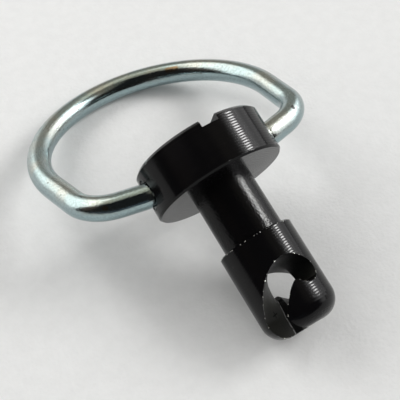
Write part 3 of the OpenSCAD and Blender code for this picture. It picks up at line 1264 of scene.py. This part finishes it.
@dataclass(frozen=True)
class BrightZinc:
    """Bright zinc plate on drawn wire, bluish, with a painted warm reflection on its upper side, in uneven
    patches.

    The table gives how dull the plate is, from nought to one, by the distance along the wire.
    """

    name: str
    effects: SharedEffects
    pose: RestPose
    blue: Colour = (0.34, 0.445, 0.465, 1.0)
    # tint of the painted warm reflection on the upper side
    warm: Colour = (0.415, 0.435, 0.405, 1.0)
    brown: Colour = (0.40, 0.27, 0.15, 1.0)
    grey: Colour = (0.17, 0.18, 0.17, 1.0)
    nicked: Colour = (0.07, 0.07, 0.07, 1.0)
    nicks: tuple[Stroke, ...] = (
        Stroke((11.25, 0.25, -3.75), (11.42, 0.32, -4.08), 0.42),
        Stroke((-12.59, -1.0, -5.6), (-12.45, -1.9, -6.9), 0.13),
        Stroke((-12.2, 0.2, -4.6), (-12.6, -0.9, -5.9), 0.12),
    )
    stains: tuple[Stroke, ...] = (
        Stroke((7.9, -13.0, -18.5), (7.0, -13.4, -18.9), 0.75),
        Stroke((-11.5, 0.3, -3.25), (-11.3, 0.3, -3.15), 0.5),
    )
    nick_share: float = 0.9
    stain_share: float = 0.8
    speck_scale: float = 1.3
    speck_size: float = 0.11
    speck_share: float = 0.8
    speck_depth: float = -2.0
    patch_scale: float = 0.22
    patch_contrast: float = 0.12
    cloud_share: float = 0.8
    # heights of the normal over which the painted warm reflection comes in, and its least share within the
    # patches
    warm_reflection_up: Pair = (0.1, 0.7)
    warm_reflection_least: float = 0.2
    grain_scale: float = 5.5
    grey_grain: Pair = (0.58, 0.40)
    grey_share: float = 0.28
    roughness: float = 0.11
    line_roughness: float = 0.15
    dull_roughness: float = 0.22
    line_relief: float = 0.7
    grain_relief: float = 0.9
    dull_relief: float = 1.6
    relief: float = 0.000012
    dulled: tuple[Pair, ...] = (
        (0.0, 0.2), (7.0, 0.45), (14.0, 0.4), (24.0, 0.3), (36.0, 0.1), (45.0, 0.2),
        (52.0, 0.9), (60.0, 0.6), (66.0, 0.5), (70.0, 0.15), (78.0, 0.1),
    )

    def material(self) -> bpy.types.Material:
        """Builds the material.

        Returns:
            The finished material.
        """
        mat, w, shader = new_material(self.name)
        place = stud_place(w, self.pose)
        strand = w.add("ShaderNodeAttribute", attribute_name="strand").outputs["Vector"]
        values = {"Scale": self.patch_scale, "Contrast": self.patch_contrast}
        patches = w.group(self.effects.blotch, Place=place, **values)
        values = {"Speck Scale": self.speck_scale, "Speck Size": self.speck_size}
        specks = w.group(self.effects.wear, Place=place, **values)["Specks"]
        lines = w.noise(strand, 1.0, 3.0)
        grain = w.noise(place, self.grain_scale, 3.0)
        up = w.split(w.add("ShaderNodeTexCoord").outputs["Normal"])[2]
        # painted reflection: the upper side is tinted warm where it faces the warm light above, in uneven
        # patches; the plate's own colour is blue
        warm_reflection = w.math("MULTIPLY_ADD", patches["Patches"], 1.0 - self.warm_reflection_least, self.warm_reflection_least)
        warm_reflection = w.math("MULTIPLY", w.ramp(up, *self.warm_reflection_up), warm_reflection)
        tone = w.mix(warm_reflection, self.blue, self.warm)
        tone = w.mix(w.ramp(grain, *self.grey_grain, (0.0, self.grey_share)), tone, self.grey)
        for stain in self.stains:
            share = w.math("MULTIPLY", stain.mask(w, self.effects, place), self.stain_share)
            tone = w.mix(share, tone, self.brown)
        marks: object = w.math("MULTIPLY", specks, self.speck_share)
        for nick in self.nicks:
            share = w.math("MULTIPLY", nick.mask(w, self.effects, place), self.nick_share)
            marks = w.highest(marks, share)
        dull = self._dullness(w, w.math("DIVIDE", w.split(strand)[2], STRAND_ALONG))
        cloudy = w.math("MULTIPLY", w.math("SUBTRACT", patches["Cloud"], 0.5), self.cloud_share)
        cloudy = w.math("MAXIMUM", w.math("ADD", dull, cloudy), 0.0)
        drawn = w.math("MULTIPLY_ADD", w.math("SUBTRACT", lines, 0.5), self.line_roughness, self.roughness)
        skin = w.math("MULTIPLY", grain, w.math("MULTIPLY_ADD", dull, self.dull_relief, self.grain_relief))
        skin = w.math("ADD", w.math("MULTIPLY", lines, self.line_relief), skin)
        skin = w.math("ADD", skin, w.math("MULTIPLY", specks, self.speck_depth))
        w.bump(shader, skin, self.relief)
        w.fill(shader, {
            "Base Color": w.mix(marks, tone, self.nicked),
            "Metallic": 1.0,
            "Roughness": w.math("MULTIPLY_ADD", cloudy, self.dull_roughness, drawn),
        })
        return mat

    def _dullness(self, w: Wiring, along: Socket) -> object:
        """Reads the table of dullness.

        Args:
            w: Wiring of the material.
            along: Distance along the wire.

        Returns:
            How dull the plate is there.
        """
        dull: object = self.dulled[0][1]
        for (start, before), (end, after) in zip(self.dulled, self.dulled[1:]):
            dull = w.math("ADD", dull, w.ramp(along, start, end, (0.0, after - before)))
        return dull


@dataclass(frozen=True)
class BareMetal:
    """Bright metal laid bare by a cutter."""

    name: str
    colour: Colour = (0.75, 0.75, 0.72, 1.0)
    roughness: float = 0.3

    def material(self) -> bpy.types.Material:
        """Builds the material.

        Returns:
            The finished material.
        """
        mat, w, shader = new_material(self.name)
        w.fill(shader, {"Base Color": self.colour, "Metallic": 1.0, "Roughness": self.roughness})
        return mat


@dataclass
class Burrs:
    """Tiny bright burrs that the cutters left along the slot's rims and the shoulder, in millimetres."""

    rims: np.ndarray
    pose: RestPose
    spacing: float = 0.11
    share: float = 0.13
    size: float = 0.048
    seed: int = 7
    smallest: Point = (0.5, 0.5, 0.5)
    largest: Point = (1.6, 1.2, 1.2)
    on_shoulder: float = 1.9
    on_slot: float = 0.7
    shoulder_from: Pair = (6.8, 7.4)
    at_tip: float = 4.5
    tip_from: Pair = (13.5, 15.0)
    prong_half: Pair = (0.9, 1.1)

    def _growth(self) -> Growth:
        """Scatters small lumps along lines, and more of them at the shoulder and the prongs' tips."""
        kinds = {"Spacing": "Float", "Share": "Float", "Size": "Float", "Seed": "Int", "Finish": "Material"}
        growth = Growth("rim_burrs", "Rims", kinds, "Burrs")
        w, given = growth.w, growth.given
        line = w.add("GeometryNodeMeshToCurve", {"Mesh": given["Rims"]}).outputs[0]
        points = w.add("GeometryNodeCurveToPoints", {"Curve": line, "Length": given["Spacing"]}, mode="LENGTH")
        x, _, z = w.split(w.add("GeometryNodeInputPosition").outputs[0])
        tip = w.ramp(z, *self.tip_from, (0.0, self.at_tip))
        tip = w.math("MULTIPLY", w.near(x, 0.0, *self.prong_half), tip)
        denser = w.math("ADD", w.ramp(z, *self.shoulder_from, (self.on_shoulder, self.on_slot)), tip)
        kept = w.math("MULTIPLY", given["Share"], denser)
        spare = w.math("GREATER_THAN", growth.pick("FLOAT", given["Seed"], {}), kept)
        inputs = {"Geometry": points.outputs[0], "Selection": spare}
        drop = w.add("GeometryNodeDeleteGeometry", inputs, domain="POINT")
        lump = w.add("GeometryNodeMeshIcoSphere", {"Subdivisions": 1, "Radius": given["Size"]}).outputs[0]
        sizes = {"Min": self.smallest, "Max": self.largest}
        turns = {"Max": (FULL_TURN, FULL_TURN, FULL_TURN)}
        inputs = {
            "Points": drop.outputs[0],
            "Instance": lump,
            "Scale": growth.pick("FLOAT_VECTOR", w.math("ADD", given["Seed"], 1.0), sizes),
            "Rotation": growth.pick("FLOAT_VECTOR", w.math("ADD", given["Seed"], 2.0), turns),
        }
        growth.close(w.add("GeometryNodeInstanceOnPoints", inputs).outputs[0])
        return growth

    def join(self, body: bpy.types.Object, finish: bpy.types.Material) -> None:
        """Scatters the burrs and makes them part of the stud.

        Args:
            body: The stud.
            finish: The burrs' material.
        """
        points: dict[tuple[float, ...], int] = {}
        edges = []
        for pair in self.rims:
            ends = [tuple(np.round(p, 4)) for p in pair]
            edges.append([points.setdefault(end, len(points)) for end in ends])
        rims = Mesher.link("rims", np.array(list(points)), [], [e for e in edges if e[0] != e[1]])
        values = {"Spacing": self.spacing, "Share": self.share, "Size": self.size, "Seed": self.seed}
        burrs = self._growth().run(rims, "edge_burrs", self.pose, Finish=finish, **values)
        LOG.info("burrs: %d faces", len(burrs.data.polygons))
        with bpy.context.temp_override(active_object=body, object=body, selected_editable_objects=[body, burrs]):
            bpy.ops.object.join()


@dataclass
class Bail:
    """The bent wire bail, swept by Geometry Nodes along its path."""

    sizes: WireSizes
    stud: StudSizes
    pose: RestPose
    sides: int = 56
    step: float = 0.25

    def path(self) -> np.ndarray:
        """Lists the middle of the wire from one cut end to the other, in the plane of the bail.

        Returns:
            Rows of distance along the pivot and distance from it, and the radius of the wire.
        """
        w = self.sizes
        stretches = [
            (w.seat_len - w.wire_chamfer, 0.0, 0.0),
            (0.0, w.leg_r, w.leg_sweep),
            (w.leg_len(self.stud.head_r), 0.0, 0.0),
            (0.0, w.corner_r, w.side_angle - w.leg_sweep),
            (w.side_len, 0.0, 0.0),
            (0.0, w.bow_r, 180 - w.side_angle),
        ]
        x, y, heading = self.stud.head_r - w.seat_len, 0.0, 0.0
        rows = [(x, y, w.wire_r - w.wire_chamfer), (x + w.wire_chamfer, y, w.wire_r)]
        x += w.wire_chamfer
        for length, radius, turn in stretches:
            n = max(2, math.ceil((length + radius * math.radians(turn)) / self.step))
            half_turn = math.radians(turn) / n / 2
            chord = length / n if radius == 0 else 2 * radius * math.sin(half_turn)
            for _ in range(n):
                heading += half_turn
                x, y = x + chord * math.cos(heading), y + chord * math.sin(heading)
                heading += half_turn
                rows.append((x, y, w.wire_r))
        LOG.info("bail path: %d points, bow at x %.4f, y %.3f", len(rows), x, y)
        half = np.array(rows)
        other = half[-2::-1].copy()
        other[:, 0] *= -1
        return np.vstack([half, other])

    def _curve(self) -> bpy.types.Object:
        """The path as a curve with the wire's radius at each point."""
        rows = self.path()
        lean = math.radians(self.sizes.bail_lean)
        curve = bpy.data.curves.new("bail_path", "CURVE")
        curve.dimensions = "3D"
        spline = curve.splines.new("POLY")
        spline.points.add(len(rows) - 1)
        for point, (u, v, r) in zip(spline.points, rows):
            point.co = (u, -v * math.sin(lean), self.stud.pivot_z - v * math.cos(lean), 1.0)
            point.radius = r
        return Mesher.place("bail_path", curve)

    def _growth(self) -> Growth:
        """The sweep: a round section along the path, with closed ends and a strand coordinate."""
        growth = Growth("wire_sweep", "Path", {"Sides": "Int", "Finish": "Material"}, "Wire")
        w, given = growth.w, growth.given
        length = w.add("GeometryNodeSplineParameter").outputs["Length"]
        path = growth.store(given["Path"], "along", "FLOAT", length)
        section = w.add("GeometryNodeCurvePrimitiveCircle", {"Resolution": given["Sides"], "Radius": 1.0})
        corner = w.add("GeometryNodeInputPosition").outputs[0]
        ring = growth.store(section.outputs[0], "round", "FLOAT_VECTOR", corner)
        radius = w.add("GeometryNodeInputRadius").outputs[0]
        inputs = {"Curve": path, "Profile Curve": ring, "Fill Caps": True, "Scale": radius}
        sweep = w.add("GeometryNodeCurveToMesh", inputs)
        across = w.scale(growth.recall("round", "FLOAT_VECTOR"), STRAND_ROUND)
        along = w.math("MULTIPLY", growth.recall("along", "FLOAT"), STRAND_ALONG)
        strand = w.vector("ADD", across, w.add("ShaderNodeCombineXYZ", {2: along}).outputs[0])
        wire = growth.store(sweep.outputs[0], "strand", "FLOAT_VECTOR", strand)
        growth.close(w.add("GeometryNodeSetShadeSmooth", {0: wire}).outputs[0])
        return growth

    def build(self, finish: bpy.types.Material) -> bpy.types.Object:
        """Sweeps the wire.

        Args:
            finish: The wire's material.

        Returns:
            The bail, placed on the ground.
        """
        obj = self._growth().run(self._curve(), "wire_bail", self.pose, Sides=self.sides, Finish=finish)
        for spare in ("along", "round"):
            obj.data.attributes.remove(obj.data.attributes[spare])
        return obj


@dataclass(frozen=True)
class Glow:
    """A soft bright patch of the room, by its direction from the fastener in degrees."""

    azimuth: float
    elevation: float
    half_width: float
    half_height: float
    soft: float
    radiance: float
    tint: Point = (1.0, 1.0, 1.0)

    def light(self, w: Wiring, azimuth: Socket, elevation: Socket) -> Socket:
        """Gives the patch's light in a direction.

        Args:
            w: Wiring of the world.
            azimuth: Azimuth of the direction, from +Y towards +X.
            elevation: Elevation of the direction.

        Returns:
            The light, as a colour.
        """
        wide = w.near(azimuth, self.azimuth, self.half_width - self.soft, self.half_width + self.soft)
        high = w.near(elevation, self.elevation, self.half_height - self.soft, self.half_height + self.soft)
        return w.scale(Vector(self.tint) * self.radiance, w.math("MULTIPLY", wide, high))


@dataclass(frozen=True)
class Lamp:
    """A round soft lamp that lights only what is matt. Angles in degrees, sizes in metres."""

    name: str
    azimuth: float
    elevation: float
    distance: float
    size: float
    power: float
    aim: Point = (0.0, 0.0, 0.008)

    def hang(self) -> None:
        """Hangs the lamp so that it looks at the fastener."""
        data = bpy.data.lights.new(self.name, "AREA")
        data.shape = "DISK"
        data.size = self.size
        data.energy = self.power
        obj = Mesher.place(self.name, data)
        az, el = math.radians(self.azimuth), math.radians(self.elevation)
        way = Vector((math.cos(el) * math.sin(az), math.cos(el) * math.cos(az), math.sin(el)))
        obj.location = way * self.distance + Vector(self.aim)
        obj.rotation_euler = way.to_track_quat("Z", "Y").to_euler()
        obj.visible_glossy = False


@dataclass(frozen=True)
class Paper:
    """The pale sheet of paper, which fades to the backdrop far out. Distances in metres."""

    effects: SharedEffects
    backdrop: Colour
    half: float = 1.6
    fades: Pair = (0.09, 0.3)
    pale: Colour = (0.80, 0.80, 0.787, 1.0)
    palest: Colour = (0.825, 0.825, 0.812, 1.0)
    roughness: float = 0.9
    patch_scale: float = 700.0
    patch_contrast: float = 0.22
    tooth_scale: float = 2400.0
    tooth: float = 0.00005

    def material(self) -> bpy.types.Material:
        """Builds the material.

        Returns:
            The finished material.
        """
        mat, w, shader = new_material("pale paper")
        place = w.add("ShaderNodeTexCoord").outputs["Object"]
        values = {"Scale": self.patch_scale, "Contrast": self.patch_contrast}
        patches = w.group(self.effects.blotch, Place=place, **values)["Patches"]
        w.fill(shader, {
            "Base Color": w.mix(patches, self.pale, self.palest),
            "Roughness": self.roughness,
            "Specular IOR Level": 0.0,
        })
        w.bump(shader, w.noise(place, self.tooth_scale, 3.0), self.tooth)
        x, y, _ = w.split(place)
        away = w.ramp(w.length(x, y), *self.fades)
        seen = w.math("MULTIPLY", away, w.add("ShaderNodeLightPath").outputs["Is Camera Ray"])
        glow = w.add("ShaderNodeEmission", {"Color": self.backdrop}).outputs[0]
        blend = w.add("ShaderNodeMixShader", {0: seen, 1: shader.outputs[0], 2: glow})
        w.put(mat.node_tree.nodes["Material Output"].inputs["Surface"], blend.outputs[0])
        return mat

    def lay(self) -> None:
        """Lays the sheet on the ground."""
        corners = [(x * self.half, y * self.half, 0) for x, y in ((-1, -1), (1, -1), (1, 1), (-1, 1))]
        obj = Mesher.link("paper_floor", np.array(corners), [(0, 1, 2, 3)])
        obj.data.materials.append(self.material())


@dataclass(frozen=True)
class Room:
    """The surroundings: plain light for what is matt, and a dim room with windows for what is bright.

    The horizon is darker to one side, by its elevation and azimuth in degrees.
    """

    backdrop: Colour
    plain: float = 0.325
    gloom: float = 0.02
    glows: tuple[Glow, ...] = (
        Glow(-34.0, 22.0, 34.0, 34.0, 9.0, 2.35, (1.01, 1.0, 0.96)),
        Glow(92.0, 20.0, 36.0, 30.0, 7.0, 1.9),
        Glow(92.0, 34.0, 26.0, 14.0, 6.0, 2.1),
        Glow(93.0, 37.0, 6.0, 5.0, 2.0, 56.0, (1.0, 1.0, 0.98)),
        Glow(26.0, 22.0, 36.0, 45.0, 12.0, 0.36, (1.05, 1.0, 0.88)),
        Glow(-80.0, 34.0, 12.0, 16.0, 8.0, 0.08, (1.3, 1.0, 0.8)),
        Glow(0.0, 64.0, 66.0, 20.0, 10.0, 0.6, (1.12, 1.03, 0.82)),
        Glow(105.0, 62.0, 48.0, 18.0, 10.0, 0.2, (1.12, 1.03, 0.82)),
        Glow(-155.0, 6.0, 50.0, 8.0, 5.0, 0.1, (0.8, 1.0, 1.2)),
    )
    horizon: Point = (1.0, 1.0, 2.4)
    horizon_side: Point = (85.0, 40.0, 50.0)
    horizon_share: float = 0.85

    def build(self) -> None:
        """Makes the world."""
        world = bpy.data.worlds.new("room")
        bpy.context.scene.world = world
        world.use_nodes = True
        w = Wiring(world.node_tree)
        x, y, z = w.split(w.add("ShaderNodeTexCoord").outputs["Generated"])
        azimuth = w.math("DEGREES", w.math("ARCTAN2", x, y))
        elevation = w.math("DEGREES", w.math("ARCSINE", z))
        room: object = (self.gloom, self.gloom, self.gloom)
        for glow in self.glows:
            room = w.vector("ADD", glow.light(w, azimuth, elevation), room)
        line = w.near(elevation, *self.horizon)
        line = w.math("MULTIPLY", line, w.near(azimuth, *self.horizon_side, (self.horizon_share, 0.0)))
        mirrored = w.scale(room, w.math("SUBTRACT", 1.0, line))
        path = w.add("ShaderNodeLightPath").outputs
        seen = w.mix(path["Is Glossy Ray"], (self.plain, self.plain, self.plain, 1.0), mirrored)
        seen = w.mix(path["Is Camera Ray"], seen, self.backdrop)
        w.fill(world.node_tree.nodes["Background"], {"Color": seen, "Strength": 1.0})


@dataclass(frozen=True)
class View:
    """The camera at its fitted place: eye in millimetres, directions as unit vectors."""

    lens: float = 76.5
    sensor: float = 36.0
    near_clip: float = 0.005
    eye: Point = (-29.28, -49.417, 74.836)
    right: Point = (0.8419, -0.5393, -0.0196)
    forward: Point = (0.318, 0.5253, -0.7892)

    def build(self) -> None:
        """Makes the camera."""
        data = bpy.data.cameras.new("camera")
        data.lens = self.lens
        data.sensor_width = self.sensor
        data.clip_start = self.near_clip
        obj = Mesher.place("camera", data)
        forward = Vector(self.forward).normalized()
        right = Vector(self.right)
        right = (right - forward * right.dot(forward)).normalized()
        turn = Matrix((right, right.cross(forward), -forward)).transposed().to_4x4()
        obj.matrix_world = Matrix.Translation(Vector(self.eye) * MM) @ turn
        bpy.context.scene.camera = obj


@dataclass(frozen=True)
class Studio:
    """Everything that isn't the fastener."""

    effects: SharedEffects
    backdrop: Colour = (0.82, 0.82, 0.81, 1.0)
    lamps: tuple[Lamp, ...] = (
        Lamp("left_window", -29.0, 42.0, 0.28, 0.2, 0.33),
        Lamp("left_low", -68.0, 26.0, 0.4, 0.2, 0.18),
        Lamp("right_window", 104.0, 36.0, 0.5, 0.22, 1.15),
        Lamp("right_low", 132.0, 34.0, 0.5, 0.26, 0.27),
        Lamp("front", -165.0, 42.0, 0.5, 0.24, 0.2),
    )

    def build(self) -> None:
        """Sets the camera, the paper, the room and the lamps."""
        View().build()
        Paper(self.effects, self.backdrop).lay()
        Room(self.backdrop).build()
        for lamp in self.lamps:
            lamp.hang()
        bpy.context.scene.view_settings.view_transform = "Standard"


def main() -> None:
    """Builds the stage, the stud and the bail, and ties them to the model's bodies."""
    logging.basicConfig(level=logging.INFO, format="%(message)s")
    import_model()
    stud_sizes, wire_sizes = StudSizes(), WireSizes()
    pose = RestPose(stud_sizes, wire_sizes)
    effects = SharedEffects()
    Studio(effects).build()

    stud = Stud(stud_sizes, CamSizes(), wire_sizes, pose)
    body = stud.build()
    for cut, name in ((Cut.TURNED, "black turned metal"), (Cut.MILLED, "black milled metal")):
        body.data.materials.append(BlackAnodised(name, effects, pose, cut).material())
    Burrs(stud.rim_lines, pose).join(body, BareMetal("bare metal").material())
    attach(body, "stud")
    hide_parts("stud")
    LOG.info("stud: %d faces", len(body.data.polygons))

    bail = Bail(wire_sizes, stud_sizes, pose).build(BrightZinc("bright zinc", effects, pose).material())
    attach(bail, "bail")
    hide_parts("bail")
    LOG.info("bail: %d faces", len(bail.data.polygons))


if __name__ == "__main__":
    main()
